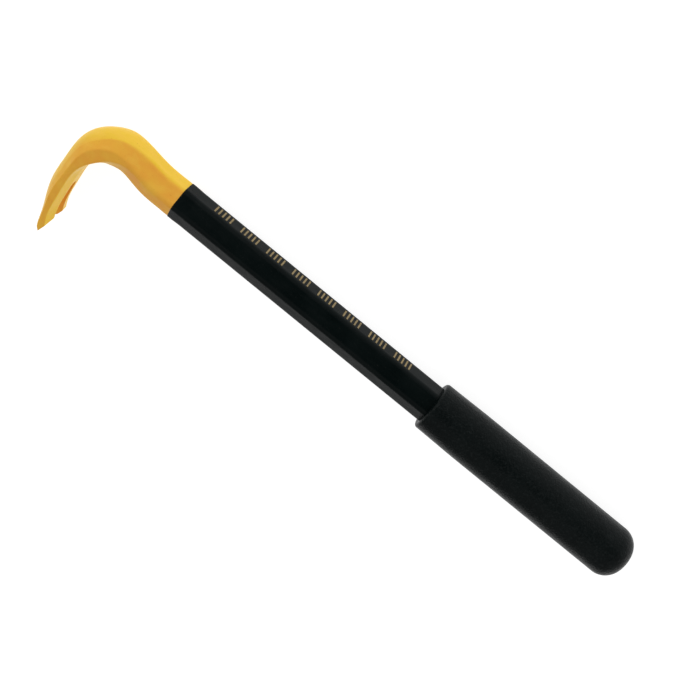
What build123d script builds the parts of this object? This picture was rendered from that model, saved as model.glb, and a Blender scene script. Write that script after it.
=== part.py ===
from build123d import *
import os
from collections import namedtuple
from math import cos, radians, sin, tan

# A nail-pulling pry bar, or cat's paw: one forged bar of hexagon steel whose end is
# flattened, bent into a hook and notched into a claw, with an enamel coat on the claw,
# a black coat on the shank and a moulded grip over the rear end.
# The tool lies on its side. X runs along the shank from the claw to the grip, Y points to
# the back of the hook, and Z is up. The origin is under the middle of the tool, on the
# surface that it lies on.

# ---------------------------------------------------------------- driving dimensions (mm)
across_flats = 14.3          # 9/16 in hexagon bar
corner_radius = 2.6          # rolled corners of the bar
side_flat_half = 7.8         # the bar's rounded side corner, as a narrow flat

enamel_thick = 0.25          # yellow enamel on claw and neck
coat_thick = 0.32            # black coat on the shank
lap_length = 2.5             # the black coat's run over the enamel
lap_thick = 0.45             # outer height of that lap over the steel
lap_edge_thick = 0.32        # its rounded front edge
lap_edge_length = 0.25
bead_length = 6.0            # lap and the raised stretch behind it

exposed_shank = 130.0        # from the colour line to the front of the grip
grip_length = 103.0
grip_radius = 11.2
grip_front_radius = 10.9
grip_swell = 20.0            # the grip reaches its full radius this far back
grip_edge_round = 1.3
grip_end_round = 8.5
grip_end_wall = 7.0          # rubber behind the end of the bar

neck_straight = 8.0          # the bar runs straight on before the neck begins to lean
lean_angle = 11.0            # the neck leans back before it hooks
lean_radius = 40.0
lean_length = 7.3
bend_radius = 16.4
bend_angle = 91.0
blade_radius = 71.0          # the claw curls gently on towards its points
blade_angle = 33.0

slot_root_half = 1.7         # half widths of the nail slot, halfway through the blade
slot_mouth_half = 3.1
slot_flare = 0.15            # its walls open towards the belly, half width per mm of depth
slot_corner = 3.0            # the points' inner corners are set back this far
slot_above = 6.0             # the cut's reach from the blade's middle to each side
slot_below = 10.0
slot_root_at = 65.5          # distances along the bar's middle line from the colour line
tip_at = 87.0
tip_skew = 3.5               # the ground edge is not quite square: the lower point is shorter
tip_height = 1.0             # the cutting edge, towards the back from the middle line
belly_grind = 40.0           # ground faces of each point, measured from the blade
back_grind = 20.0
grind_depth = 12.0

mark_width = 0.7             # printed bars on the back flat
mark_height = 4.6
mark_thick = 0.12
mark_pitch = 1.9
marks_in_group = 5
group_pitch = 13.1
mark_groups = 8
marks_start = 14.0

# where the colour line lies in the tool's frame
colour_line_x = -92.75
shank_y = 19.06
shank_z = grip_radius

# ---------------------------------------------------------------- worked out from them
flat = across_flats / 2
hex_flat_half = flat * tan(radians(30))
side_rise = flat - (2 * hex_flat_half - side_flat_half) * tan(radians(60))
grip_end = exposed_shank + grip_length
bar_end = grip_end - grip_end_wall

hook_plane = Plane(origin=(colour_line_x, shank_y, shank_z))
shank_plane = Plane(origin=(colour_line_x, shank_y, shank_z), x_dir=(0, 0, 1), z_dir=(-1, 0, 0))

# Cross-sections of the hook, from the neck to the points. Each row: distance along the
# middle line, thickness, half width over the sides, half width of the back facet, its
# crown, depth of the side face below the crest of the back, its height above the belly,
# half width of the belly facet, and edge radius.
Section = namedtuple("Section", "at thick side back crown shoulder heel belly edge")


def bar_section(at):
    """The plain hexagon bar as a hook section."""
    return Section(at, across_flats, side_flat_half, hex_flat_half, 0,
                   side_rise, side_rise, hex_flat_half, corner_radius)


sections = [
    bar_section(0),
    bar_section(4.5),
    bar_section(9),
    bar_section(13.5),
    Section(18, 13.9, 7.9, 4.15, 0.0, 6.2, 6.2, 4.1, 2.4),
    Section(27, 13.5, 8.7, 5.3, 0.8, 5.6, 4.7, 4.4, 1.9),
    Section(36, 12.7, 9.9, 7.4, 2.4, 5.3, 2.1, 4.4, 1.4),
    Section(45, 10.6, 10.2, 8.0, 3.1, 5.45, 0.6, 3.1, 1.0),
    Section(54, 8.4, 9.7, 7.8, 2.9, 4.95, 0.85, 2.6, 0.9),
    Section(63, 8.2, 9.3, 7.6, 2.8, 4.4, 0.95, 3.0, 0.8),
    Section(72, 7.0, 9.2, 7.5, 2.3, 3.35, 0.95, 3.0, 0.7),
    Section(81, 5.5, 9.2, 7.6, 1.5, 2.15, 1.0, 3.0, 0.6),
    Section(90, 3.8, 9.1, 7.6, 0.7, 1.2, 1.0, 3.0, 0.4),
]

with BuildLine(hook_plane) as middle_line:
    neck = Line((0, 0), (-neck_straight, 0))
    kick = JernArc(start=neck @ 1, tangent=neck % 1, radius=lean_radius, arc_size=-lean_angle)
    lean = Line(kick @ 1, kick @ 1 + (kick % 1) * lean_length)
    bend = JernArc(start=lean @ 1, tangent=lean % 1, radius=bend_radius, arc_size=bend_angle)
    blade = JernArc(start=bend @ 1, tangent=bend % 1, radius=blade_radius, arc_size=blade_angle)

middle = middle_line.wire()


def section_plane(at):
    """Plane across the bar at a distance along its middle line: local X is across the
    tool, local Y points to the back of the hook and Z on towards the points."""
    return Plane(
        origin=middle.position_at(at, PositionMode.LENGTH),
        x_dir=(0, 0, 1),
        z_dir=middle.tangent_at(at, PositionMode.LENGTH),
    )


def outline(row, skin, plane):
    """One cross-section of the bar on its plane, grown by skin on every side. The edges of
    the back and belly facets move outwards by a third of that along the facet."""
    top = row.thick / 2 + skin
    back_edge = (row.back + skin / 3, top - row.crown)
    shoulder = (row.side + skin, row.thick / 2 - row.shoulder)
    heel = (row.side + skin, row.heel - row.thick / 2)
    belly_edge = (row.belly + skin / 3, -top)
    right = [back_edge, shoulder, heel, belly_edge]
    left = [(-x, y) for x, y in reversed(right)]
    with BuildSketch(plane) as face:
        with BuildLine():
            Polyline(*right, *left)
            if row.crown:
                ThreePointArc(left[-1], (0, top), right[0])
            else:
                Line(left[-1], right[0])
        make_face()
        fillet(face.vertices(), radius=row.edge)
    return face.sketch


def slot_outline(skin, depth):
    """Outline of the nail slot, depth mm towards the belly from the blade's middle, on a
    plane square to the blade at the slot's closed end."""
    root_plane = section_plane(slot_root_at)
    plane = Plane(
        origin=root_plane.origin - root_plane.y_dir * depth,
        x_dir=root_plane.z_dir,
        z_dir=root_plane.y_dir,
    )
    grow = slot_flare * depth - skin
    run = tip_at - slot_root_at + skin
    upper = [
        (0, slot_root_half + grow),
        (run - slot_corner, slot_mouth_half + grow),
        (run + slot_corner, grip_radius),
        (run + grind_depth, grip_radius),
    ]
    lower = [(x, -y) for x, y in reversed(upper)]
    with BuildSketch(plane) as face:
        with BuildLine():
            Polyline(*upper, *lower)
            ThreePointArc(lower[-1], (-slot_root_half - grow, 0), upper[0])
        make_face()
    return face.sketch


def hook_shape(skin):
    """Neck, bend and notched claw, grown outwards by a coat of thickness skin."""
    outlines = [outline(row, skin, section_plane(row.at)) for row in sections]
    slot_outlines = [slot_outline(skin, depth) for depth in (-slot_above, slot_below)]
    with BuildPart() as hook:
        loft(outlines)
        loft(slot_outlines, ruled=True, mode=Mode.SUBTRACT)
        # each point is ground on both faces to a cutting edge
        tip = section_plane(tip_at).rotated((0, tip_skew, 0))
        edge = tip.origin + tip.y_dir * tip_height
        for angle, side in ((belly_grind, -1), (back_grind, 1)):
            away = tip.z_dir * sin(radians(angle)) + tip.y_dir * side * cos(radians(angle))
            grind_plane = Plane(origin=edge + away * skin, x_dir=away, z_dir=tip.x_dir)
            with BuildSketch(grind_plane):
                Rectangle(grind_depth, 2 * grind_depth, align=(Align.MIN, Align.CENTER))
            extrude(amount=2 * grip_radius, both=True, mode=Mode.SUBTRACT)
    return hook.part


def shank_shape(skin, start, end, end_skin=None):
    """Straight hexagon bar from start to end, measured from the colour line, grown by
    skin, or by skin at its start and end_skin at its end."""
    skins = (skin, skin if end_skin is None else end_skin)
    ends = [
        outline(bar_section(0), grown, shank_plane.offset(-place))
        for grown, place in zip(skins, (start, end))
    ]
    with BuildPart() as shank:
        loft(ends, ruled=True)
    return shank.part


# ---------------------------------------------------------------- the forged bar
with BuildPart() as steel_bar:
    add(shank_shape(0, 0, bar_end))
    add(hook_shape(0))

# ---------------------------------------------------------------- enamel on claw and neck
with BuildPart() as claw_enamel:
    add(shank_shape(enamel_thick, 0, lap_length))
    add(hook_shape(enamel_thick))
    add(steel_bar.part, mode=Mode.SUBTRACT)

# ---------------------------------------------------------------- black coat on the shank
with BuildPart() as shank_coat:
    add(shank_shape(lap_edge_thick, 0, lap_edge_length, lap_thick))
    add(shank_shape(lap_thick, lap_edge_length, lap_length))
    add(shank_shape(lap_thick, lap_length, bead_length, coat_thick))
    add(shank_shape(coat_thick, bead_length, bar_end + coat_thick))
    add(steel_bar.part, mode=Mode.SUBTRACT)
    add(claw_enamel.part, mode=Mode.SUBTRACT)

# ---------------------------------------------------------------- moulded grip
with BuildPart() as grip:
    with BuildSketch(hook_plane):
        with BuildLine():
            Polyline(
                (exposed_shank, 0),
                (exposed_shank, grip_front_radius),
                (exposed_shank + grip_swell, grip_radius),
                (grip_end, grip_radius),
                (grip_end, 0),
                close=True,
            )
        make_face()
    revolve(axis=Axis(hook_plane.origin, (1, 0, 0)))
    fillet(edges().filter_by(GeomType.CIRCLE).sort_by(Axis.X)[0], radius=grip_edge_round)
    fillet(edges().filter_by(GeomType.CIRCLE).sort_by(Axis.X)[-1], radius=grip_end_round)
    add(shank_shape(coat_thick, 0, bar_end + coat_thick), mode=Mode.SUBTRACT)

# ---------------------------------------------------------------- printed bars
with BuildPart() as marking_bars:
    marks_plane = Plane(
        origin=hook_plane.origin + Vector(0, flat + coat_thick, 0), x_dir=(1, 0, 0), z_dir=(0, 1, 0)
    )
    with BuildSketch(marks_plane):
        for group in range(mark_groups):
            for bar in range(marks_in_group):
                with Locations((marks_start + group * group_pitch + bar * mark_pitch, 0)):
                    Rectangle(mark_width, mark_height)
    extrude(amount=mark_thick)

# ---------------------------------------------------------------- write the parts
pieces = {
    "steel_bar": steel_bar,
    "claw_enamel": claw_enamel,
    "shank_coat": shank_coat,
    "grip": grip,
    "marking_bars": marking_bars,
}
os.makedirs("parts", exist_ok=True)
for name, piece in pieces.items():
    piece.part.label = name
    export_step(piece.part, f"parts/{name}.step")
    box = piece.part.bounding_box()
    print(name, len(piece.part.solids()), "solids", round(piece.part.volume, 1), "mm3", box.min, box.max)
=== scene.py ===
"""Looks of the nail claw pry bar: enamelled claw, coated shank, moulded cushion grip and
printed bars, lying on a pale floor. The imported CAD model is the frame, in metres."""
import math

import bpy
from mathutils import Matrix, Vector

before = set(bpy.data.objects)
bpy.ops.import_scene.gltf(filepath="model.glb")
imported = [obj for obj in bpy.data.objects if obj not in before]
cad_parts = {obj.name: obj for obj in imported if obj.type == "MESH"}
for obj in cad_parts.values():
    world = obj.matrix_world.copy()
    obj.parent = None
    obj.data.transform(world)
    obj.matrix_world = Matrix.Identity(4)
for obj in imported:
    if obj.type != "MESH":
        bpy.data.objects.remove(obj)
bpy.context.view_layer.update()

# ------------------------------------------------------------------ node helpers


class Finish:
    """A procedural material under construction, around one Principled shader."""

    def __init__(self, name):
        self.material = bpy.data.materials.new(name)
        self.material.use_nodes = True
        self.tree = self.material.node_tree
        self.tree.nodes.clear()
        output = self.node("OutputMaterial")
        self.shader = self.node("BsdfPrincipled")
        self.link(self.shader.outputs["BSDF"], output.inputs["Surface"])
        self.place = self.node("TexCoord").outputs["Object"]

    def node(self, kind):
        return self.tree.nodes.new("ShaderNode" + kind)

    def link(self, source, socket):
        self.tree.links.new(source, socket)

    def feed(self, value, socket):
        """Links an output into a socket, or sets a constant on it."""
        if isinstance(value, bpy.types.NodeSocket):
            self.link(value, socket)
        else:
            socket.default_value = value

    def stretched(self, x, y, z):
        """Object coordinates scaled along each axis."""
        mapping = self.node("Mapping")
        self.link(self.place, mapping.inputs["Vector"])
        mapping.inputs["Scale"].default_value = (x, y, z)
        return mapping.outputs["Vector"]

    def noise(self, size, detail=3.0, roughness=0.55, place=None):
        """Noise from 0 to 1 whose blotches are about size metres across."""
        noise = self.node("TexNoise")
        self.link(place or self.place, noise.inputs["Vector"])
        noise.inputs["Scale"].default_value = 1.0 / size
        noise.inputs["Detail"].default_value = detail
        noise.inputs["Roughness"].default_value = roughness
        return noise.outputs["Fac"]

    def cells(self, size):
        """Distance in a cell pattern whose cells are about size metres across."""
        cells = self.node("TexVoronoi")
        self.link(self.place, cells.inputs["Vector"])
        cells.inputs["Scale"].default_value = 1.0 / size
        return cells.outputs["Distance"]

    def remap(self, value, low, high, to_low, to_high):
        """Takes low..high to to_low..to_high with a smooth step, clamped at both ends."""
        remap = self.node("MapRange")
        remap.interpolation_type = "SMOOTHSTEP"
        self.feed(value, remap.inputs["Value"])
        for name, number in (
            ("From Min", low),
            ("From Max", high),
            ("To Min", to_low),
            ("To Max", to_high),
        ):
            remap.inputs[name].default_value = number
        return remap.outputs["Result"]

    def maths(self, operation, a, b):
        maths = self.node("Math")
        maths.operation = operation
        self.feed(a, maths.inputs[0])
        self.feed(b, maths.inputs[1])
        return maths.outputs["Value"]

    def mix(self, amount, a, b):
        """Blend of two colours."""
        mix = self.node("Mix")
        mix.data_type = "RGBA"
        self.feed(amount, mix.inputs["Factor"])
        for value, socket in ((a, mix.inputs[6]), (b, mix.inputs[7])):
            self.feed(value if isinstance(value, bpy.types.NodeSocket) else (*value, 1.0), socket)
        return mix.outputs[2]

    def normal_part(self, axis):
        """How squarely the surface faces along an axis, 0 to 1, either way round."""
        geometry = self.node("NewGeometry")
        parts = self.node("SeparateXYZ")
        self.link(geometry.outputs["Normal"], parts.inputs["Vector"])
        return self.maths("ABSOLUTE", parts.outputs[axis], 0.0)

    def relief(self, *layers):
        """Stacks bump layers, each (height, depth in metres), onto the shader's normal."""
        normal = None
        for height, depth in layers:
            bump = self.node("Bump")
            bump.inputs["Strength"].default_value = 1.0
            bump.inputs["Distance"].default_value = depth
            self.link(height, bump.inputs["Height"])
            if normal:
                self.link(normal, bump.inputs["Normal"])
            normal = bump.outputs["Normal"]
        self.link(normal, self.shader.inputs["Normal"])

    def paint(self, colour, roughness, **constants):
        """Colour and roughness, and constants straight onto the shader's own sockets."""
        self.feed(colour, self.shader.inputs["Base Color"])
        self.feed(roughness, self.shader.inputs["Roughness"])
        for name, value in constants.items():
            self.shader.inputs[name.replace("_", " ")].default_value = value

    def wear(self, *nodes):
        """The named CAD nodes take this material."""
        for name in nodes:
            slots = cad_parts[name].data.materials
            slots.clear()
            slots.append(self.material)


# ------------------------------------------------------------------ yellow enamel
YELLOW = (0.85, 0.545, 0.042)
# Darker orange painted on the broad sides as painted shade, not a second paint colour.
PAINTED_SHADE_ORANGE = (0.88, 0.405, 0.054)
PALE_YELLOW = (0.90, 0.58, 0.060)
STREAK_YELLOW = (0.92, 0.56, 0.080)
SPECK_BROWN = (0.55, 0.27, 0.03)
WARM_GLOSS = (1.0, 0.84, 0.40, 1.0)

# Painted shade: the broad sides, which face up and down as the tool lies, are painted a darker
# orange by which way they face, in place of the shade that the light would give them.
enamel = Finish("yellow_enamel")
painted_shade_broad_sides = enamel.remap(enamel.normal_part("Z"), 0.35, 0.85, 0.0, 1.0)
tone = enamel.mix(painted_shade_broad_sides, YELLOW, PAINTED_SHADE_ORANGE)
blotch = enamel.noise(0.009, detail=4.0)
tone = enamel.mix(enamel.remap(blotch, 0.35, 0.70, 0.0, 0.35), tone, PALE_YELLOW)
brushed = enamel.noise(0.0022, detail=4.0, place=enamel.stretched(0.35, 0.35, 1.0))
tone = enamel.mix(enamel.remap(brushed, 0.40, 0.70, 0.0, 0.40), tone, STREAK_YELLOW)
speck = enamel.remap(enamel.noise(0.0007, detail=2.0), 0.66, 0.74, 0.0, 0.35)
tone = enamel.mix(speck, tone, SPECK_BROWN)
gloss = enamel.remap(enamel.noise(0.004), 0.3, 0.7, 0.30, 0.42)
enamel.paint(tone, gloss, Specular_IOR_Level=0.08, Specular_Tint=WARM_GLOSS)
enamel.relief(
    (enamel.noise(0.006, detail=2.0), 0.00022),
    (enamel.noise(0.0011, detail=2.0), 0.00003),
)
enamel.wear("claw_enamel")

# ------------------------------------------------------------------ black coat
DEEP_BLACK = (0.0009, 0.0030, 0.0030)
SOFT_BLACK = (0.0022, 0.0048, 0.0047)
DUST_GREY = (0.035, 0.034, 0.032)

coat = Finish("black_coat")
cloud = coat.noise(0.012, detail=5.0)
black = coat.mix(coat.remap(cloud, 0.3, 0.7, 0.0, 1.0), DEEP_BLACK, SOFT_BLACK)
dust = coat.remap(coat.noise(0.0004, detail=1.0), 0.70, 0.78, 0.0, 0.5)
black = coat.mix(dust, black, DUST_GREY)
rubbed = coat.noise(0.0016, detail=4.0, place=coat.stretched(0.12, 1.0, 1.0))
satin = coat.maths(
    "ADD",
    coat.remap(cloud, 0.3, 0.7, 0.26, 0.33),
    coat.remap(rubbed, 0.45, 0.75, 0.0, 0.09),
)
coat.paint(black, satin, Specular_IOR_Level=0.075)
coat.relief(
    (coat.noise(0.005, detail=2.0), 0.00010),
    (coat.noise(0.0009, detail=2.0), 0.00002),
)
coat.wear("shank_coat")

# ------------------------------------------------------------------ moulded grip
RUBBER_BLACK = (0.0008, 0.0026, 0.0026)
RUBBER_WORN = (0.0022, 0.0044, 0.0044)
RUBBER_GRAIN = (0.020, 0.024, 0.024)

rubber = Finish("grip_rubber")
mottle = rubber.noise(0.010, detail=5.0)
dark = rubber.mix(rubber.remap(mottle, 0.3, 0.7, 0.0, 1.0), RUBBER_BLACK, RUBBER_WORN)
pale = rubber.remap(rubber.noise(0.0011, detail=3.0), 0.48, 0.72, 0.0, 0.28)
dark = rubber.mix(pale, dark, RUBBER_GRAIN)
soft = rubber.remap(mottle, 0.3, 0.7, 0.30, 0.40)
rubber.paint(dark, soft, Specular_IOR_Level=0.09)
rubber.relief(
    (rubber.noise(0.011, detail=2.0), 0.00030),
    (rubber.cells(0.0008), 0.00012),
    (rubber.noise(0.0004, detail=2.0), 0.00005),
)
rubber.wear("grip")

# ------------------------------------------------------------------ printed bars
GOLD_INK = (0.25, 0.175, 0.060)
RUBBED_INK = (0.04, 0.030, 0.014)

print_ink = Finish("gold_print")
thin = print_ink.remap(print_ink.noise(0.0006, detail=3.0), 0.50, 0.66, 0.0, 0.55)
gold = print_ink.mix(thin, GOLD_INK, RUBBED_INK)
print_ink.paint(gold, print_ink.remap(thin, 0.0, 1.0, 0.42, 0.55), Metallic=0.15)
print_ink.relief((print_ink.noise(0.0004, detail=2.0), 0.00002))
print_ink.wear("marking_bars")

# ------------------------------------------------------------------ ground steel
STEEL_DARK = (0.42, 0.42, 0.43)
STEEL_LIGHT = (0.60, 0.60, 0.60)

steel = Finish("ground_steel")
lines = steel.noise(0.0005, detail=4.0, place=steel.stretched(1.0, 0.05, 0.05))
metal = steel.mix(lines, STEEL_DARK, STEEL_LIGHT)
steel.paint(metal, steel.remap(lines, 0.3, 0.7, 0.25, 0.42), Metallic=1.0)
steel.relief((lines, 0.00001))
steel.wear("steel_bar")

# ------------------------------------------------------------------ floor
FLOOR_HALF = 60.0
FLOOR_GAP = 0.0002
FLOOR_GLOW = 0.86
FLOOR_GREYS = ((0.39, 0.39, 0.39), (0.41, 0.41, 0.41))

floor_mesh = bpy.data.meshes.new("floor")
corner_signs = ((-1, -1), (1, -1), (1, 1), (-1, 1))
corners = [(x * FLOOR_HALF, y * FLOOR_HALF, -FLOOR_GAP) for x, y in corner_signs]
floor_mesh.from_pydata(corners, [], [(0, 1, 2, 3)])
floor = bpy.data.objects.new("floor", floor_mesh)
bpy.context.scene.collection.objects.link(floor)
ground = Finish("floor")
ground.paint(
    ground.mix(ground.noise(0.25), *FLOOR_GREYS),
    0.9,
    Specular_IOR_Level=0.1,
    Emission_Color=(1.0, 1.0, 1.0, 1.0),
    Emission_Strength=FLOOR_GLOW,
)
floor_mesh.materials.append(ground.material)

# ------------------------------------------------------------------ light


def softbox(name, azimuth, elevation, distance, width, height, watts):
    """An area light that faces the tool. Azimuth is measured from +X towards +Y."""
    light = bpy.data.lights.new(name, "AREA")
    light.shape = "RECTANGLE"
    light.size = width
    light.size_y = height
    light.energy = watts
    lamp = bpy.data.objects.new(name, light)
    a, e = math.radians(azimuth), math.radians(elevation)
    away = Vector((math.cos(e) * math.cos(a), math.cos(e) * math.sin(a), math.sin(e)))
    lamp.location = away * distance
    lamp.rotation_euler = away.to_track_quat("Z", "Y").to_euler()
    bpy.context.scene.collection.objects.link(lamp)


softbox("key", azimuth=128, elevation=38, distance=1.3, width=1.4, height=0.7, watts=2.9)

# The room is a white tent, dimmer on the hook's open side, and dark in one spot above and
# behind the tool. Just above the floor's far edge it is as white as the floor.
DARK_SPOT = (-0.02, 0.50, 0.86)
DARK_SPOT_LEVEL = 0.12
OPEN_SIDE_LEVEL = 0.40
HORIZON_LEVEL = 1.1

world = bpy.data.worlds.new("tent")
bpy.context.scene.world = world
world.use_nodes = True
tent = world.node_tree
background = tent.nodes["Background"]


def tent_node(kind, operation=None, **inputs):
    node = tent.nodes.new("ShaderNode" + kind)
    if operation:
        node.operation = operation
    for name, value in inputs.items():
        node.inputs[name.replace("_", " ")].default_value = value
    return node


direction = tent_node("TexCoord").outputs["Generated"]
split = tent_node("SeparateXYZ")
walls = tent_node("MapRange", From_Min=0.0, From_Max=0.9, To_Min=0.80, To_Max=0.78)
nearness = tent_node("VectorMath", "DOT_PRODUCT")
nearness.inputs[1].default_value = DARK_SPOT
shade = tent_node("MapRange", From_Min=0.80, From_Max=0.97, To_Min=1.0, To_Max=DARK_SPOT_LEVEL)
open_side = tent_node(
    "MapRange", From_Min=-0.95, From_Max=-0.15, To_Min=OPEN_SIDE_LEVEL, To_Max=1.0
)
horizon = tent_node("MapRange", From_Min=0.02, From_Max=0.05, To_Min=HORIZON_LEVEL, To_Max=0.0)
dimmed = tent_node("Math", "MULTIPLY")
shaded = tent_node("Math", "MULTIPLY")
strength = tent_node("Math", "MAXIMUM")
for source, socket in (
    (direction, split.inputs["Vector"]),
    (direction, nearness.inputs[0]),
    (split.outputs["Z"], walls.inputs["Value"]),
    (split.outputs["Z"], horizon.inputs["Value"]),
    (split.outputs["Y"], open_side.inputs["Value"]),
    (nearness.outputs["Value"], shade.inputs["Value"]),
    (walls.outputs["Result"], dimmed.inputs[0]),
    (open_side.outputs["Result"], dimmed.inputs[1]),
    (dimmed.outputs["Value"], shaded.inputs[0]),
    (shade.outputs["Result"], shaded.inputs[1]),
    (shaded.outputs["Value"], strength.inputs[0]),
    (horizon.outputs["Result"], strength.inputs[1]),
    (strength.outputs["Value"], background.inputs["Strength"]),
):
    tent.links.new(source, socket)
background.inputs["Color"].default_value = (1.0, 1.0, 1.0, 1.0)

# ------------------------------------------------------------------ camera
EYE = Vector((-0.03734, 0.29910, 0.45928))
AIM = Vector((-0.00201, 0.01472, 0.01110))
ROLL = math.radians(-146.77)
LENS = 67.56
SENSOR = 36.0

camera = bpy.data.cameras.new("camera")
camera.lens = LENS
camera.sensor_width = SENSOR
camera.clip_start = 0.01
camera_object = bpy.data.objects.new("camera", camera)
upright = (EYE - AIM).to_track_quat("Z", "Y").to_matrix().to_4x4()
camera_object.matrix_world = Matrix.Translation(EYE) @ upright @ Matrix.Rotation(ROLL, 4, "Z")
bpy.context.scene.collection.objects.link(camera_object)
bpy.context.scene.camera = camera_object

bpy.context.scene.view_settings.view_transform = "Standard"
bpy.context.scene.view_settings.look = "None"

# ------------------------------------------------------------------ scene update
bpy.context.view_layer.update()
